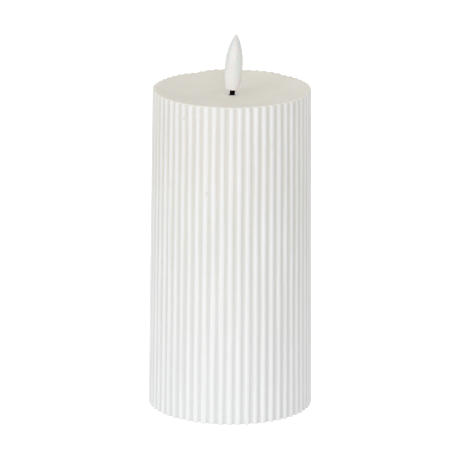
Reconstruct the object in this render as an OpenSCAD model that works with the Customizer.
// Flameless LED pillar candle with a ribbed wax body.
// Millimetres, +Z up, origin at the centre of the foot, the front is towards -Y.

/* [Wax pillar] */
// Height of the wax from its foot to its rim
wax_h = 150; // [120:1:220]
// Diameter over the ribs at the foot
foot_d = 75.8; // [74:0.2:90]
// Diameter over the ribs at the rim
top_d = 72.6; // [70:0.2:90]
// Number of upright ribs
rib_count = 58; // [40:1:72]
// Depth of the grooves between the ribs
rib_depth = 0.85; // [0.4:0.05:1.2]
// Rounding of the outer edge at the foot
foot_round = 0.4; // [0.3:0.1:1.5]
// Rounding of the outer edge at the rim
rim_round = 0.6; // [0.4:0.1:2]
// Depth of the dished top at its middle
dish_depth = 3.2; // [1.5:0.1:6]
// Diameter of the flat middle of the dish
dish_flat_d = 9; // [6:0.5:14]
// Thickness of the wax under the dish
ceiling_t = 7.8; // [5:0.1:15]
// Diameter of the cavity above the insert
cavity_d = 62; // [54:0.5:63]
// Narrowing of the cavity from its foot to its ceiling, across the diameter
cavity_draft = 3; // [0:0.5:6]

/* [Flame and wick] */
// Length of the flame
flame_h = 26.1; // [20:0.1:32]
// Greatest diameter of the flame
flame_d = 8.2; // [7:0.1:11]
// Diameter of the flame at its foot
flame_foot_d = 6.2; // [5.8:0.1:7]
// Height of the widest place of the flame above its foot
flame_belly_h = 10; // [7:0.1:12]
// Rounding of the lower edge of the flame
flame_round = 0.8; // [0.3:0.1:1.2]
// Wall of the hollow flame
flame_wall = 0.9; // [0.6:0.1:1.2]
// Lean of the flame towards +X, in degrees
flame_lean = 4.1; // [0:0.1:8]
// Diameter of the wick sleeve
wick_d = 2.25; // [2:0.05:3]
// Wall of the wick sleeve
wick_wall = 0.3; // [0.2:0.05:0.35]
// Length of wick that shows above the wax
wick_show = 2.7; // [1:0.1:6]
// Diameter of the lens of the LED
led_d = 3; // [2.8:0.1:3.2]
// Height of the LED, with its dome
led_h = 5.2; // [4:0.1:6]
// Diameter of the flange of the LED
led_flange_d = 3.6; // [3.4:0.1:4]
// Thickness of the flange of the LED
led_flange_t = 1; // [0.6:0.1:1.2]
// Width of the square legs of the LED
lead_w = 0.4; // [0.3:0.05:0.45]
// Distance between the middles of the legs
lead_pitch = 0.9; // [0.8:0.05:1]
// Length of the legs below the wick sleeve
lead_tail = 3; // [1:0.5:6]
// Diameter of the flange of the wick holder
holder_flange_d = 12; // [8:0.5:20]
// Thickness of the flange of the wick holder
holder_flange_t = 1.2; // [0.8:0.1:2]
// Diameter of the barrel of the wick holder
holder_d = 6; // [4:0.5:8]
// Length of the barrel of the wick holder
holder_h = 8; // [4:0.5:12]

/* [Battery cells] */
// Diameter of an AA cell
cell_d = 14.5; // [13.5:0.1:14.5]
// Length of an AA cell over its positive nub
cell_l = 50.5; // [49.2:0.1:50.5]
// Diameter of the positive nub
nub_d = 5.2; // [4.2:0.1:5.5]
// Height of the positive nub
nub_h = 1.2; // [1:0.1:1.6]
// Gap between the two cells
cell_gap = 0.5; // [0.3:0.1:1]
// Gap from a cell to the walls and the roof of its compartment
cell_clear = 0.4; // [0.3:0.1:0.8]
// Height of the cells above the door
cell_lift = 0.6; // [0.4:0.1:1.2]

/* [Contacts and springs] */
// Thickness of the contact plates
contact_t = 0.4; // [0.3:0.05:0.5]
// Width of a single contact plate
contact_w = 10; // [9:0.5:10]
// Height of the contact plates
contact_h = 11; // [9:0.5:12]
// Width of the solder tabs
tab_w = 3; // [2:0.5:4]
// Height of the solder tabs above the compartment roof
tab_rise = 1.8; // [1:0.1:2.5]
// Length of a spring under load
spring_l = 4.6; // [4.2:0.1:6]
// Diameter of the spring wire
spring_wire = 0.7; // [0.5:0.05:0.8]
// Diameter of the spring at its plate, on the wire's middle
spring_foot_d = 8; // [7.5:0.5:9]
// Diameter of the spring at the cell, on the wire's middle
spring_tip_d = 3.6; // [3.2:0.2:4.4]
// Turns of the spring
spring_turns = 2.5; // [1.5:0.5:2.5]

/* [Base insert] */
// Gap around the insert in its pocket
insert_gap = 0.3; // [0.2:0.1:0.6]
// Height of the base plate above the foot of the wax
recess = 1.5; // [1.2:0.1:4]
// Thickness of the base plate
plate_t = 3; // [2.8:0.1:4]
// Wall around the insert
shell_wall = 1.4; // [1:0.1:2]
// Wall of the battery compartment
comp_wall = 1.2; // [1:0.1:1.6]
// Roof of the battery compartment
roof_t = 1.4; // [1:0.1:2]
// Height of the wiring space over the roof
wire_room = 3.5; // [3:0.1:8]
// Radius of the bosses for the cover screws
boss_r = 2.5; // [2.2:0.1:3]
// Distance of the cover bosses from the middle, along X
boss_x = 20; // [19:0.5:21]
// Thickness of the cover
cover_t = 1.5; // [1.2:0.1:3]
// Height of the locating lip under the cover
lip_h = 1.3; // [1:0.1:2]
// Thickness of the locating lip
lip_t = 1.2; // [0.8:0.1:1.6]
// Outer diameter of the wire chimney
chimney_d = 8; // [6.5:0.5:12]
// Bore of the wire chimney
chimney_bore = 4.4; // [4:0.2:5]
// Height of the wire chimney
chimney_h = 5; // [2:0.5:15]

/* [Battery door] */
// Thickness of the door
door_t = 1.6; // [1.2:0.1:1.8]
// Width of the ledge that the door closes against
ledge_w = 1.2; // [1:0.1:1.6]
// Gap around the door
door_gap = 0.2; // [0.15:0.05:0.4]
// Gap at the hinge edge, for the door to swing
hinge_gap = 0.5; // [0.5:0.05:0.7]
// Distance of the hinge axis beyond the door opening
hinge_out = 1.7; // [1.7:0.1:2.2]
// Height of the hinge axis above the underside of the base plate
hinge_z = 1.3; // [1.2:0.05:1.4]
// Radius of the hinge barrels
barrel_r = 1.15; // [1:0.05:1.15]
// Length of the hinge barrels
barrel_l = 5; // [3:0.5:6]
// Diameter of the hinge pins
pin_d = 1.6; // [1.2:0.1:1.6]
// Length of the hinge pins
pin_l = 1.2; // [0.8:0.1:1.6]
// Running gap around the hinge pins
pin_gap = 0.05; // [0.03:0.01:0.08]
// Distance of the hinge arms from the middle
hinge_x = 16; // [12:0.5:17]
// Width of the snap tongue
tongue_w = 8.4; // [6:0.2:10]
// Height of the snap tongue above the underside of the base plate
tongue_h = 5.5; // [4.8:0.1:6.5]
// Thickness of the snap tongue
tongue_t = 0.8; // [0.6:0.1:0.9]
// Reach of the snap tongue from its inner face to its outer face
tongue_reach = 2.8; // [2.4:0.1:3]
// Size of the nib on the snap tongue
nib = 0.5; // [0.3:0.1:0.5]
// Height of the ridge on the door between the cells
door_ridge_h = 2.2; // [1:0.1:3]
// Width of the ridges between the cells
ridge_w = 1; // [0.8:0.1:1.2]
// Height of the ridge on the roof between the cells
roof_ridge_h = 4; // [2:0.1:4]

/* [Switch] */
// Length of the switch body
switch_l = 12; // [11.6:0.1:13]
// Width of the switch body
switch_w = 5.6; // [5.2:0.1:5.8]
// Height of the switch body
switch_h = 5; // [4.6:0.1:6]
// Thickness of the switch can
can_t = 0.35; // [0.25:0.05:0.4]
// Thickness of the terminal plate
terminal_t = 1.2; // [0.8:0.1:1.4]
// Travel of the knob each way, which is also the pitch of the pins
knob_travel = 2; // [1.5:0.1:2.1]
// Length of the knob along its travel
knob_l = 3.6; // [2.5:0.1:4]
// Width of the knob
knob_w = 2.2; // [1.6:0.1:2.6]
// Height of the knob below the base plate
knob_proud = 0.4; // [0:0.1:1]
// Length of the slider inside the can
slider_l = 6.4; // [5:0.1:6.6]
// Thickness of the slider inside the can
slider_t = 1.6; // [1.2:0.1:1.8]
// Running gap around the knob and the slider
knob_gap = 0.15; // [0.1:0.05:0.3]
// Depth of the finger well around the knob
well_depth = 1.5; // [1:0.1:1.8]
// Width of the finger well
well_w = 5.8; // [5:0.1:6]
// Distance of the switch from the middle of the candle
switch_y = 24.4; // [24.3:0.1:24.6]

/* [Circuit board] */
// Length of the circuit board
board_l = 27.6; // [26:0.2:28]
// Width of the circuit board
board_w = 10.4; // [10.2:0.1:10.6]
// Thickness of the circuit board
board_t = 1; // [0.8:0.1:1.6]
// Gap between the circuit board and the battery compartment
board_gap = 0.6; // [0.4:0.1:0.8]
// Distance of the board screws from the middle
post_x = 11.6; // [11:0.1:11.8]
// Radius of the posts under the board
post_r = 2.1; // [1.8:0.1:2.2]
// Diameter of the crystal can
crystal_d = 2; // [1.5:0.1:3]
// Length of the crystal can
crystal_l = 6; // [5:0.5:6]
// Diameter of the capacitor
cap_d = 4; // [3:0.5:4]
// Height of the capacitor
cap_h = 5; // [3:0.5:7]
// Body length, body width and height of the control chip
chip_size = [3.9, 4.9, 1.5];
// Length, width and height of a resistor
resistor_size = [3.2, 1.6, 0.6];

/* [Screws] */
// Diameter of the screw shanks
screw_d = 2.1; // [1.8:0.1:2.2]
// Gap around the screw shanks
screw_gap = 0.05; // [0.03:0.01:0.15]
// Diameter of the screw heads
head_d = 3.7; // [3.2:0.1:3.8]
// Height of the screw heads
head_h = 1.3; // [1:0.1:1.4]
// Length of the cover screws under the head
cover_screw_l = 8; // [5:0.5:12]
// Length of the board screws under the head
board_screw_l = 5; // [3:0.5:5.5]
// Width of the cross in the screw heads
cross_w = 0.6; // [0.4:0.1:0.8]
// Depth of the cross in the screw heads
cross_depth = 0.8; // [0.4:0.1:0.9]

/* [Wires] */
// Diameter of the insulated wires
wire_d = 1.2; // [1:0.1:1.2]

/* [Hidden] */
$fn = 96;
eps = 0.01;

// Levels, from the foot up
plate_top = recess + plate_t;
door_top = recess + door_t;
cell_z = door_top + cell_lift + cell_d / 2;
roof_z = cell_z + cell_d / 2 + cell_clear;
roof_top = roof_z + roof_t;
tray_top = roof_top + wire_room;
insert_top = tray_top + cover_t;
boss_top = tray_top - lip_h;
dish_z = wax_h - dish_depth;
ceiling_z = dish_z - ceiling_t;
wick_top = dish_z + wick_show;
flame_z = wick_top + 0.1;
holder_z = ceiling_z - holder_flange_t - holder_h;
lead_z = holder_z - lead_tail;

// Wax skin: points round each rib, steps in each rounded edge, share of the ribs left at
// the rim, land between the ribs and the dish, steps in the dish
rib_points = 6;
foot_steps = 1;
rim_steps = 2;
rim_ribs = 0.8;
rim_land = 0.4;
dish_steps = 5;
bore_gap = 0.1;

// Flame outline and the steps along it
flame_power = 2.2;
flame_fullness = 0.85;
flame_steps = 14;
throat_h = 2.2;
led_gap = 0.05;

// Battery compartment and the insert around it
cell_y = (cell_d + cell_gap) / 2;
comp_x = (cell_l + spring_l) / 2 + contact_t;
comp_y = cell_y + cell_d / 2 + cell_clear;
plate_x = comp_x - contact_t;
cell_bevel = 0.5;
crimp_z = 2;
crimp_depth = 0.3;
rail_gap = 0.1;
rail_w = 1.1;
rail_t = 0.6;
rail_lip = 0.6;
board_room = 0.3;
board_y = comp_y + comp_wall + board_gap + board_w / 2;
rail_r = norm([comp_x, cell_y + contact_w / 2 + rail_gap + rail_w]);
board_r = norm([board_l / 2, board_y + board_w / 2]) + board_room;
inner_r = max(rail_r, board_r);
insert_r = inner_r + shell_wall;
pocket_r = insert_r + insert_gap;
opening_r = inner_r - 0.2;
door_r = opening_r + 0.4;
boss_y = sqrt(pow(inner_r - boss_r + 0.5, 2) - boss_x * boss_x);
tab_gap = 0.1;
tab_z = roof_top + 1;

// Door, hinge and snap tongue
door_y = comp_y + ledge_w;
door_x = comp_x + ledge_w;
hinge_y = -door_y - hinge_out;
hinge_axis_z = recess + hinge_z;
hinge_room = 0.25;
pin_room = 0.2;
tongue_gap = 0.45;
tongue_y = door_y + tongue_gap;
catch_gap = 0.2;
catch_y = tongue_y + tongue_reach + nib + catch_gap;
tongue_room = 0.8;
finger_h = 0.5;
nail_r = 0.8;
ridge_l = 40;
grip_count = 3;
grip_l = 12;
grip_w = 1;
grip_h = 0.3;
grip_pitch = 2.2;
grip_y = 9;

// Board and switch
board_z = plate_top + knob_gap + switch_h;
board_top = board_z + board_t;
can_z = plate_top + knob_gap;
slot_l = knob_l + 2 * knob_travel + 2 * knob_gap;
slot_w = knob_w + 2 * knob_gap;
well_l = slot_l + 6;
slider_z = can_z + can_t + knob_gap;
slider_w = switch_w - 2 * can_t - 2 * knob_gap;
wiper_z = slider_z + slider_t;
terminal_z = board_z - terminal_t;
terminal_gap = 0.05;
pin_count = 4;
terminal_pin = [0.5, 0.8];
terminal_hole_r = 0.6;
terminal_drop = 0.3;
terminal_rise = 0.8;
wiper_t = 0.25;
wiper_w = 1.6;
wiper_base_l = 3.2;
wiper_foot_l = 0.7;
wiper_gap = 0.05;
chip_xy = [-2, board_y - 2];
chip_legs = 4;
chip_leg = [1.1, 0.45, 0.25];
chip_leg_pitch = 1.2;
crystal_xy = [6, board_y - 0.9];
cap_xy = [-7.3, board_y + 2.6];
cap_groove = 0.3;
resistor_xy = [[6.5, board_y + 1.9], [6.5, board_y + 4.1]];
resistor_cap_l = 0.5;
head_gap = 0.15;
pilot_room = 0.5;

// Wires and springs
wire_r = wire_d / 2;
wire_sides = 8;
wire_steps = 3;
spring_sides = 6;
spring_rings = 8;
wire_pair = 0.75;
wire_pad_y = board_y - 3.5;
led_red_route = [
    [-7, wire_pad_y, board_top], [-7, wire_pad_y, board_top + 1.5],
    [-7, wire_pad_y, board_top + 3], [-6.8, 18.6, 18], [-6.2, 17.2, 21.2], [-5, 13, 21.9],
    [-3, 7, 21.8],
    [-0.6, 2, 22], [0, wire_pair, 24.5], [0, wire_pair, 28], [1, 2, 45], [2, 3, 70],
    [1, 2, 95], [0, 1, lead_z - 12], [0, wire_pair, lead_z - 4], [0, wire_pair, lead_z - 2],
    [0, wire_pair, lead_z]
];
led_black_route = [
    [-9, wire_pad_y, board_top], [-9, wire_pad_y, board_top + 1.5],
    [-9, wire_pad_y, board_top + 3], [-9, 18.6, 18], [-8.8, 17.2, 21.2], [-8, 12, 21.9],
    [-5.5, 4, 21.8],
    [-1.5, -0.6, 22], [0, -wire_pair, 24.5], [0, -wire_pair, 28], [-1, -2, 45], [-2, -3, 70],
    [-1, -2, 95], [0, -1, lead_z - 12], [0, -wire_pair, lead_z - 4], [0, -wire_pair, lead_z - 2],
    [0, -wire_pair, lead_z]
];
battery_red_route = [
    [plate_x, cell_y, tab_z], [plate_x - 1.2, cell_y, tab_z], [plate_x - 2.4, cell_y, tab_z],
    [22, 12, 21.4], [18.5, 16, 21.5], [16.6, 18.4, 19], [13, wire_pad_y, 15.5],
    [8.6, wire_pad_y, board_top + 2.4], [8.6, wire_pad_y, board_top + 1.2],
    [8.6, wire_pad_y, board_top]
];
battery_black_route = [
    [plate_x, -cell_y, tab_z], [plate_x - 1.2, -cell_y, tab_z], [plate_x - 2.4, -cell_y, tab_z],
    [20, -3, 21.6], [11, 8, 21.7], [7.5, 14, 21.8], [6.3, 17.3, 21], [6, 18.6, 18],
    [6, wire_pad_y, board_top + 3],
    [6, wire_pad_y, board_top + 1.5], [6, wire_pad_y, board_top]
];

// Rib outline: 0 on a crest, 1 in a groove, with a crest facing the front
function rib_fall(a) = 1 - abs(cos(rib_count * (a + 90) / 2));

// One ring of the wax skin: crest radius, share of the rib depth, height
function wax_ring(ring) = [
    for (i = [0 : rib_count * rib_points - 1])
        let (
            a = 360 * i / (rib_count * rib_points) - 90,
            r = ring[0] * (1 - ring[1] * rib_fall(a) * rib_depth * 2 / foot_d)
        )
        [r * cos(a), r * sin(a), ring[2]]
];

// Height of the dished top at a share of the way from its flat middle to its edge
function dish_height(share) = dish_z + dish_depth * pow(share, 2);

// Radius of the flame at a height above its foot
function flame_r(h) =
    h < flame_belly_h
    ? flame_d / 2 - (flame_d - flame_foot_d) / 2 * pow(1 - h / flame_belly_h, 2)
    : flame_d / 2 * pow(1 - pow((h - flame_belly_h) / (flame_h - flame_belly_h), flame_power),
                        flame_fullness);

// Smooth curve through a route's points
function curve_point(p, i, t) =
    let (
        a = p[max(i - 1, 0)],
        b = p[i],
        c = p[i + 1],
        d = p[min(i + 2, len(p) - 1)]
    )
    (2 * b + (c - a) * t + (2 * a - 5 * b + 4 * c - d) * t * t
        + (3 * b - a - 3 * c + d) * t * t * t) / 2;
function curve(p, steps) = [
    for (i = [0 : len(p) - 2])
        for (k = [0 : steps - 1])
            curve_point(p, i, k / steps),
    p[len(p) - 1]
];

// Directions along a path, and a side direction carried along it without twist
function unit(v) = v / norm(v);
function path_direction(p, i) = unit(p[min(i + 1, len(p) - 1)] - p[max(i - 1, 0)]);
function across(v, side) = unit(side - (side * v) * v);
function first_side(v) = across(v, abs(v[0]) < 0.7 ? [1, 0, 0] : [0, 1, 0]);
function path_sides(p) = [
    for (
        i = 0, side = first_side(path_direction(p, 0));
        i < len(p);
        i = i + 1, side = i < len(p) ? across(path_direction(p, i), side) : side
    )
        side
];

// Conical coil along +X from its plate, with a straight end at each side
function spring_path() =
    let (
        n = spring_turns * spring_rings,
        coil_l = spring_l - 2 * spring_wire
    )
    [
        [0, spring_foot_d / 2, 0],
        for (i = [0 : n])
            let (
                t = i / n,
                a = 360 * spring_turns * t,
                r = (spring_foot_d + (spring_tip_d - spring_foot_d) * t) / 2
            )
            [spring_wire + coil_l * t, r * cos(a), r * sin(a)],
        [
            spring_l,
            spring_tip_d / 2 * cos(360 * spring_turns),
            spring_tip_d / 2 * sin(360 * spring_turns)
        ]
    ];
function least_gap(p, apart, thick) = min([
    for (i = [0 : len(p) - 1])
        for (j = [i + apart : 1 : len(p) - 1])
            norm(p[i] - p[j]) - thick
]);
echo(spring_least_gap = least_gap(spring_path(), spring_rings / 2, spring_wire));

// Faces that close a ring of points: one polygon, or a fan when there is a middle point
function ring_cap(ids, middle) =
    is_undef(middle)
    ? [ids]
    : [for (i = [0 : len(ids) - 1]) [ids[i], ids[(i + 1) % len(ids)], middle]];

// Closed skin through rings that all have the same number of points, with a flat end at each;
// the middle points, if given, make each end a fan
module skin(rings, middles = []) {
    n = len(rings[0]);
    last = len(rings) - 1;
    ends = len(middles) == 0 ? [undef, undef] : [n * (last + 1), n * (last + 1) + 1];
    polyhedron(
        points = [for (ring = rings) each ring, each middles],
        faces = [
            each ring_cap([for (i = [0 : n - 1]) i], ends[0]),
            for (k = [0 : last - 1])
                for (i = [0 : n - 1])
                    let (j = (i + 1) % n)
                    each [
                        [k * n + i, (k + 1) * n + i, (k + 1) * n + j],
                        [k * n + i, (k + 1) * n + j, k * n + j]
                    ],
            each ring_cap([for (i = [n - 1 : -1 : 0]) last * n + i], ends[1])
        ]
    );
}

// Round tube swept along a path
module tube(path, radius, sides) {
    side = path_sides(path);
    skin([
        for (i = [0 : len(path) - 1])
            let (
                v = path_direction(path, i),
                up = cross(v, side[i])
            )
            [
                for (k = [0 : sides - 1])
                    path[i] + radius * (cos(360 * k / sides) * side[i] + sin(360 * k / sides) * up)
            ]
    ]);
}

// Block centred on X and Y, standing on z
module block(size, at) {
    translate([at[0] - size[0] / 2, at[1] - size[1] / 2, at[2]]) cube(size);
}

// Rod standing on z
module rod(radius, height, at) {
    translate(at) cylinder(r = radius, h = height);
}

// Self-tapping screw, its head's upper face at z = 0
module screw(shank_l) {
    difference() {
        union() {
            translate([0, 0, -head_h]) cylinder(d = head_d, h = head_h);
            translate([0, 0, -head_h - shank_l]) cylinder(d = screw_d, h = shank_l + eps);
        }
        for (a = [0, 90])
            rotate([0, 0, a])
                translate([-head_d / 3, -cross_w / 2, -cross_depth])
                    cube([head_d * 2 / 3, cross_w, cross_depth + eps]);
    }
}

// The four places of the cover screws
module at_bosses() {
    for (sx = [-1, 1])
        for (sy = [-1, 1])
            translate([sx * boss_x, sy * boss_y, 0])
                children();
}

// The two places of the board screws
module at_posts() {
    for (sx = [-1, 1])
        translate([sx * post_x, board_y, 0])
            children();
}

// Cast wax pillar: ribbed skin, pocket for the insert, cavity, wick bore
module wax_shell() {
    foot_r = foot_d / 2;
    rim_r = top_d / 2 - rim_round;
    flat_r = dish_flat_d / 2;
    dish_r = rim_r * (1 - rim_ribs * rib_depth / foot_r) - rim_land;
    color("ivory")
        difference() {
            skin([
                for (k = [0 : foot_steps])
                    let (a = 90 * k / foot_steps)
                    wax_ring([foot_r - foot_round * (1 - sin(a)), 1, foot_round * (1 - cos(a))]),
                for (k = [0 : rim_steps])
                    let (a = 90 * k / rim_steps)
                    wax_ring([
                        rim_r + rim_round * cos(a),
                        1 - (1 - rim_ribs) * k / rim_steps,
                        wax_h - rim_round * (1 - sin(a))
                    ])
            ], [[0, 0, 0], [0, 0, wax_h]]);
            rotate_extrude()
                polygon([
                    [0, dish_z],
                    for (k = [0 : dish_steps])
                        let (share = k / dish_steps)
                        [flat_r + (dish_r - flat_r) * share, dish_height(share)],
                    [dish_r, wax_h + 1],
                    [0, wax_h + 1]
                ]);
            rod(pocket_r, insert_top + 1, [0, 0, -1]);
            translate([0, 0, insert_top - eps])
                cylinder(d1 = cavity_d, d2 = cavity_d - cavity_draft, h = ceiling_z - insert_top + eps);
            rod(wick_d / 2 + bore_gap, wax_h, [0, 0, ceiling_z - 1]);
        }
}

// Everything on the leaning axis of the flame
module on_flame_axis() {
    translate([0, 0, flame_z])
        rotate([0, flame_lean, 0])
            children();
}

// Hollow teardrop diffuser with a socket for the LED in its foot
module flame_bulb() {
    inner_h = flame_h - 3 * flame_wall;
    color("white")
        on_flame_axis()
            rotate_extrude()
                polygon([
                    [led_flange_d / 2 + led_gap, 0],
                    for (a = [0 : 30 : 90])
                        [
                            flame_r(flame_round) - flame_round * (1 - sin(a)),
                            flame_round * (1 - cos(a))
                        ],
                    for (k = [1 : flame_steps - 1])
                        let (h = flame_round + (flame_h - flame_round) * sin(90 * k / flame_steps))
                        [flame_r(h), h],
                    [0, flame_h],
                    [0, inner_h + flame_wall],
                    for (k = [flame_steps : -1 : 0])
                        let (h = throat_h + (inner_h - throat_h) * k / flame_steps)
                        [flame_r(h) - flame_wall, h],
                    [led_d / 2 + led_gap, throat_h],
                    [led_d / 2 + led_gap, led_flange_t + led_gap],
                    [led_flange_d / 2 + led_gap, led_flange_t + led_gap]
                ]);
}

// Bullet LED
module flame_led() {
    color("lightyellow")
        on_flame_axis() {
            cylinder(d = led_flange_d, h = led_flange_t);
            cylinder(d = led_d, h = led_h - led_d / 2);
            translate([0, 0, led_h - led_d / 2]) sphere(d = led_d);
        }
}

// Two legs of the LED
module led_leads() {
    color("silver")
        for (s = [-1, 1])
            block([lead_w, lead_w, flame_z - lead_z - eps], [0, s * lead_pitch / 2, lead_z]);
}

// Black sleeve that looks like the wick
module wick_sleeve() {
    color("black")
        difference() {
            rod(wick_d / 2, wick_top - holder_z, [0, 0, holder_z]);
            rod(wick_d / 2 - wick_wall, wick_top - holder_z + 2, [0, 0, holder_z - 1]);
        }
}

// Flanged bush under the wax ceiling
module wick_holder() {
    color("white")
        difference() {
            union() {
                rod(holder_d / 2, holder_h + holder_flange_t, [0, 0, holder_z]);
                rod(holder_flange_d / 2, holder_flange_t, [0, 0, ceiling_z - holder_flange_t]);
            }
            rod(wick_d / 2 + screw_gap, holder_h + holder_flange_t + 2, [0, 0, holder_z - 1]);
        }
}

// Upright prism: a box outline kept inside a circle
module clipped_box(x, y, radius, z, h) {
    intersection() {
        translate([-x, -y, z]) cube([2 * x, 2 * y, h]);
        rod(radius, h, [0, 0, z]);
    }
}

// Rail that holds one edge of a contact plate; side is +1 or -1 along Y
module contact_rail(edge_y, side) {
    h = roof_z - plate_top + eps;
    y0 = edge_y + side * rail_gap;
    lip_y = edge_y - side * rail_lip;
    rail_x = plate_x - rail_gap - rail_t;
    translate([rail_x, min(y0, y0 + side * rail_w), plate_top - eps])
        cube([comp_x - rail_x + eps, rail_w, h]);
    translate([rail_x, min(y0 + side * rail_w, lip_y), plate_top - eps])
        cube([rail_t, abs(y0 + side * rail_w - lip_y), h]);
}

// Rails and ridge inside the battery compartment
module compartment_fittings() {
    outer = cell_y + contact_w / 2;
    inner = cell_y - contact_w / 2;
    for (s = [-1, 1]) {
        contact_rail(s * outer, s);
        contact_rail(s * inner, -s);
        rotate([0, 0, 180]) contact_rail(s * outer, s);
    }
    block([ridge_l, ridge_w, roof_ridge_h + eps], [0, 0, roof_z - roof_ridge_h]);
}

// Hinge pocket and pin bores in the base plate
module hinge_cut() {
    for (s = [-1, 1])
        translate([s * hinge_x, 0, 0]) {
            translate([-barrel_l / 2 - hinge_room, hinge_y - barrel_r - hinge_room, recess - 1])
                cube([
                    barrel_l + 2 * hinge_room,
                    -comp_y - hinge_y + barrel_r + hinge_room,
                    plate_t + 1 + eps
                ]);
            translate([-barrel_l / 2 - pin_l - pin_room, hinge_y, hinge_axis_z])
                rotate([0, 90, 0])
                    cylinder(r = pin_d / 2 + pin_gap, h = barrel_l + 2 * pin_l + 2 * pin_room);
        }
}

// Finger well and slot for the switch knob
module switch_cut() {
    straight = well_l - well_w;
    translate([0, switch_y, 0]) {
        block([straight, well_w, well_depth + 1], [0, 0, recess - 1]);
        for (s = [-1, 1])
            rod(well_w / 2, well_depth + 1, [s * straight / 2, 0, recess - 1]);
        block([slot_l, slot_w, plate_t + 2], [0, 0, recess - 1]);
    }
}

// Base plate, wall, battery compartment, posts and bosses in one moulding
module base_tray() {
    color("whitesmoke") {
        difference() {
            union() {
                rod(insert_r, plate_t, [0, 0, recess]);
                difference() {
                    rod(insert_r, tray_top - recess, [0, 0, recess]);
                    rod(inner_r, tray_top, [0, 0, plate_top - eps]);
                }
                clipped_box(
                    comp_x + comp_wall, comp_y + comp_wall, inner_r + eps, plate_top - eps,
                    roof_top - plate_top + eps
                );
                at_bosses() rod(boss_r, boss_top - plate_top + eps, [0, 0, plate_top - eps]);
                at_posts() rod(post_r, board_z - plate_top + eps, [0, 0, plate_top - eps]);
            }
            clipped_box(comp_x, comp_y, inner_r, plate_top, roof_z - plate_top);
            clipped_box(plate_x, comp_y, opening_r, recess - 1, plate_t + 1 + eps);
            clipped_box(door_x, door_y, door_r, recess - 1, door_t + 1);
            hinge_cut();
            switch_cut();
            translate([-tongue_w / 2 - tongue_room, door_y - eps, recess - 1])
                cube([tongue_w + 2 * tongue_room, catch_y - door_y + eps, plate_t + 2]);
            translate([-tongue_w / 2, catch_y, recess])
                rotate([0, 90, 0])
                    cylinder(r = nail_r, h = tongue_w);
            for (s = [-1, 1])
                block(
                    [contact_t + tab_gap, tab_w + 2 * tab_gap, roof_t + 2],
                    [plate_x + contact_t / 2 - tab_gap / 2, s * cell_y, roof_z - 1]
                );
            at_bosses()
                rod(
                    screw_d / 2 + screw_gap, boss_top,
                    [0, 0, insert_top - head_h - cover_screw_l - pilot_room]
                );
            at_posts()
                rod(screw_d / 2 + screw_gap, board_z, [0, 0, board_top - board_screw_l - pilot_room]);
        }
        compartment_fittings();
    }
}

// U-shaped snap tongue that grows out of the door's free edge
module snap_tongue() {
    outer_y = tongue_y + tongue_reach;
    door_edge = door_y - door_gap;
    block(
        [tongue_w, tongue_y + tongue_t - door_edge + eps, door_t],
        [0, (tongue_y + tongue_t + door_edge - eps) / 2, recess]
    );
    block([tongue_w, tongue_t, tongue_h], [0, tongue_y + tongue_t / 2, recess]);
    block(
        [tongue_w, tongue_reach, tongue_t],
        [0, tongue_y + tongue_reach / 2, recess + tongue_h - tongue_t]
    );
    block([tongue_w, tongue_t, tongue_h - finger_h], [0, outer_y - tongue_t / 2, recess + finger_h]);
    translate([-tongue_w / 2, outer_y - eps, plate_top + pin_room])
        rotate([90, 0, 90])
            linear_extrude(tongue_w)
                polygon([[0, 0], [nib + eps, 0], [0, nib * 2]]);
}

// Battery door with two hinge arms, pins, a ridge between the cells and grip lines
module battery_door() {
    near_y = door_y - hinge_gap;
    far_y = door_y - door_gap;
    color("whitesmoke") {
        intersection() {
            translate([-door_x + door_gap, -near_y, recess])
                cube([2 * (door_x - door_gap), near_y + far_y, door_t]);
            rod(door_r - door_gap, door_t, [0, 0, recess]);
        }
        block([ridge_l, ridge_w, door_ridge_h + eps], [0, 0, door_top - eps]);
        for (k = [0 : grip_count - 1])
            block([grip_l, grip_w, grip_h + eps], [0, grip_y + k * grip_pitch, recess - grip_h]);
        for (s = [-1, 1])
            translate([s * hinge_x, 0, 0]) {
                hull() {
                    translate([-barrel_l / 2, hinge_y, hinge_axis_z])
                        rotate([0, 90, 0])
                            cylinder(r = barrel_r, h = barrel_l, $fn = 32);
                    block([barrel_l, eps, door_t], [0, -near_y + eps, recess]);
                }
                translate([-barrel_l / 2 - pin_l, hinge_y, hinge_axis_z])
                    rotate([0, 90, 0])
                        cylinder(d = pin_d, h = barrel_l + 2 * pin_l);
            }
        snap_tongue();
    }
}

// Cover with a locating lip, screw pads and the wire chimney
module housing_cover() {
    pad_r = boss_r - pin_room;
    color("white")
        difference() {
            union() {
                rod(insert_r, cover_t, [0, 0, tray_top]);
                difference() {
                    rod(inner_r - rail_gap, lip_h + eps, [0, 0, boss_top]);
                    rod(inner_r - rail_gap - lip_t, lip_h + 1, [0, 0, boss_top - 1]);
                }
                intersection() {
                    at_bosses() rod(pad_r, lip_h + eps, [0, 0, boss_top]);
                    rod(inner_r - rail_gap, lip_h + 1, [0, 0, boss_top]);
                }
                rod(chimney_d / 2, chimney_h + eps, [0, 0, insert_top - eps]);
            }
            rod(chimney_bore / 2, chimney_h + cover_t + 2, [0, 0, tray_top - 1]);
            at_bosses() {
                rod(head_d / 2 + head_gap, head_h + 1, [0, 0, insert_top - head_h]);
                rod(screw_d / 2 + screw_gap, cover_t + lip_h + 2, [0, 0, boss_top - 1]);
            }
        }
}

module cover_screws() {
    color("silver")
        at_bosses() translate([0, 0, insert_top]) screw(cover_screw_l);
}

module board_screws() {
    color("silver")
        at_posts() translate([0, 0, board_top + head_h]) screw(board_screw_l);
}

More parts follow.
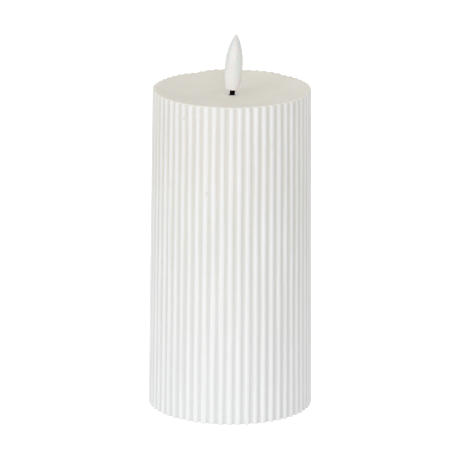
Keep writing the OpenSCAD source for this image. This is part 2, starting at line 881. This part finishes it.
// AA cell standing on its flat end
module cell() {
    r = cell_d / 2;
    can_l = cell_l - nub_h;
    rotate_extrude()
        polygon([
            [0, 0], [r - cell_bevel, 0], [r, cell_bevel],
            [r, can_l - crimp_z - 2 * crimp_depth], [r - crimp_depth, can_l - crimp_z - crimp_depth],
            [r, can_l - crimp_z], [r, can_l - cell_bevel], [r - cell_bevel, can_l],
            [nub_d / 2, can_l], [nub_d / 2, cell_l], [0, cell_l]
        ]);
}

module battery_back() {
    color("dimgray")
        translate([plate_x - cell_l, cell_y, cell_z])
            rotate([0, 90, 0])
                cell();
}

module battery_front() {
    color("dimgray")
        rotate([0, 0, 180])
            translate([plate_x - cell_l, cell_y, cell_z])
                rotate([0, 90, 0])
                    cell();
}

// Stamped plate with a solder tab through the roof; side is +1 or -1 along Y
module terminal_plate(side) {
    tab_l = roof_top + tab_rise - plate_top;
    block([contact_t, contact_w, contact_h], [plate_x + contact_t / 2, side * cell_y, plate_top]);
    block([contact_t, tab_w, tab_l], [plate_x + contact_t / 2, side * cell_y, plate_top]);
}

module contact_positive() {
    color("silver") terminal_plate(1);
}

module contact_negative() {
    color("silver") terminal_plate(-1);
}

module contact_bridge() {
    color("silver")
        block(
            [contact_t, 2 * cell_y + contact_w, contact_h],
            [-plate_x - contact_t / 2, 0, plate_top]
        );
}

module spring() {
    translate([-plate_x, cell_y, cell_z])
        tube(spring_path(), spring_wire / 2, spring_sides);
}

module spring_bridge() {
    color("silver") spring();
}

module spring_negative() {
    color("silver") rotate([0, 0, 180]) spring();
}

// Board with holes for its screws and for the switch pins
module circuit_board() {
    color("seagreen")
        difference() {
            block([board_l, board_w, board_t], [0, board_y, board_z]);
            at_posts() rod(screw_d / 2 + screw_gap, board_t + 2, [0, 0, board_z - 1]);
            for (k = [0 : pin_count - 1])
                rod(
                    terminal_hole_r, board_t + 2,
                    [(k - (pin_count - 1) / 2) * knob_travel, switch_y, board_z - 1]
                );
        }
}

module control_chip() {
    reach = chip_size[0] / 2 + chip_leg[0] / 2 - eps;
    color("black")
        translate([chip_xy[0], chip_xy[1], board_top]) {
            block(chip_size, [0, 0, 0]);
            for (s = [-1, 1])
                for (k = [0 : chip_legs - 1])
                    block(chip_leg, [s * reach, (k - (chip_legs - 1) / 2) * chip_leg_pitch, 0]);
        }
}

module timer_crystal() {
    color("silver")
        translate([crystal_xy[0] - crystal_l / 2, crystal_xy[1], board_top + crystal_d / 2])
            rotate([0, 90, 0])
                cylinder(d = crystal_d, h = crystal_l);
}

module capacitor() {
    color("navy")
        translate([cap_xy[0], cap_xy[1], board_top])
            rotate_extrude()
                polygon([
                    [0, 0], [cap_d / 2, 0], [cap_d / 2, 2 * cap_groove],
                    [cap_d / 2 - cap_groove, 3 * cap_groove], [cap_d / 2, 4 * cap_groove],
                    [cap_d / 2, cap_h - cap_groove], [cap_d / 2 - cap_groove, cap_h], [0, cap_h]
                ]);
}

module resistors() {
    color("black")
        for (at = resistor_xy)
            block(resistor_size, [at[0], at[1], board_top]);
}

// Steel can of the slide switch, open towards the board
module switch_frame() {
    color("silver")
        difference() {
            block([switch_l, switch_w, switch_h], [0, switch_y, can_z]);
            block(
                [switch_l - 2 * can_t, switch_w - 2 * can_t, switch_h],
                [0, switch_y, can_z + can_t]
            );
            block([slot_l, slot_w, 2], [0, switch_y, can_z - 1]);
        }
}

// Terminal plate with the pins that run up through the board
module switch_base() {
    color("saddlebrown") {
        block(
            [
                switch_l - 2 * can_t - 2 * terminal_gap,
                switch_w - 2 * can_t - 2 * terminal_gap,
                terminal_t
            ],
            [0, switch_y, terminal_z]
        );
        for (k = [0 : pin_count - 1])
            block(
                [
                    terminal_pin[0],
                    terminal_pin[1],
                    terminal_drop + terminal_t + board_t + terminal_rise
                ],
                [
                    (k - (pin_count - 1) / 2) * knob_travel,
                    switch_y,
                    terminal_z - terminal_drop
                ]
            );
    }
}

// Contact clip on the slider, bridging two neighbouring pins
module switch_wiper() {
    h = terminal_z - terminal_drop - wiper_gap - wiper_z;
    color("gold")
        translate([0, switch_y, 0]) {
            block([wiper_base_l, wiper_w, wiper_t], [0, 0, wiper_z]);
            for (s = [-1, 1]) {
                block([wiper_t, wiper_w, h], [s * knob_travel / 2, 0, wiper_z]);
                block(
                    [wiper_foot_l, wiper_w, wiper_t],
                    [s * knob_travel / 2, 0, wiper_z + h - wiper_t]
                );
            }
        }
}

// Knob with its slider inside the can
module switch_knob() {
    tip_z = recess - knob_proud;
    color("dimgray") {
        block([slider_l, slider_w, slider_t], [0, switch_y, slider_z]);
        block([knob_l, knob_w, slider_z - tip_z + eps], [0, switch_y, tip_z]);
    }
}

module led_wire_red() {
    color("red") tube(curve(led_red_route, wire_steps), wire_r, wire_sides);
}

module led_wire_black() {
    color("black") tube(curve(led_black_route, wire_steps), wire_r, wire_sides);
}

module battery_wire_red() {
    color("red") tube(curve(battery_red_route, wire_steps), wire_r, wire_sides);
}

module battery_wire_black() {
    color("black") tube(curve(battery_black_route, wire_steps), wire_r, wire_sides);
}

wax_shell();
flame_bulb();
flame_led();
led_leads();
wick_sleeve();
wick_holder();
base_tray();
battery_door();
housing_cover();
cover_screws();
battery_front();
battery_back();
contact_positive();
contact_negative();
contact_bridge();
spring_negative();
spring_bridge();
circuit_board();
board_screws();
control_chip();
timer_crystal();
capacitor();
resistors();
switch_frame();
switch_base();
switch_wiper();
switch_knob();
led_wire_red();
led_wire_black();
battery_wire_red();
battery_wire_black();
